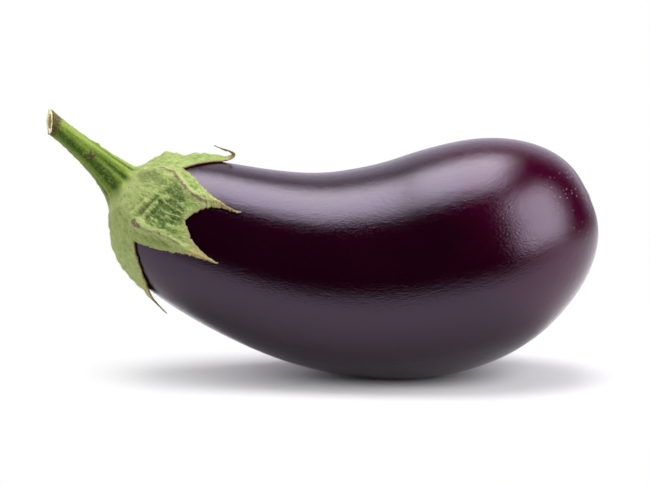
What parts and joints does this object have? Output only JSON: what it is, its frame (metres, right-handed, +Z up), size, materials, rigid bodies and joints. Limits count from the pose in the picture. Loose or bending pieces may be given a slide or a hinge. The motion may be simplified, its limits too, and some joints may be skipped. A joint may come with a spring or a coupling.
{
  "type": "eggplant",
  "caption": "Glossy dark purple eggplant, gently bent, lying on its belly, with a green calyx of pointed sepals and a short ribbed stem.",
  "frame": {"origin": "middle of the small flat spot on the belly that the eggplant rests on", "axes": "+Z up, +X along the fruit to its blossom end, -Y towards the side that shows most of the sepals"},
  "size_m": [0.2251, 0.0918, 0.1114],
  "materials": {
    "skin": "waxy gloss",
    "calyx_green": "felted leaf",
    "stem_green": "ribbed green stem with a dry cut"
  },
  "bodies": {
    "root": {"fruit": "skin", "calyx": "calyx_green", "stem": "stem_green"}
  },
  "joints": []
}
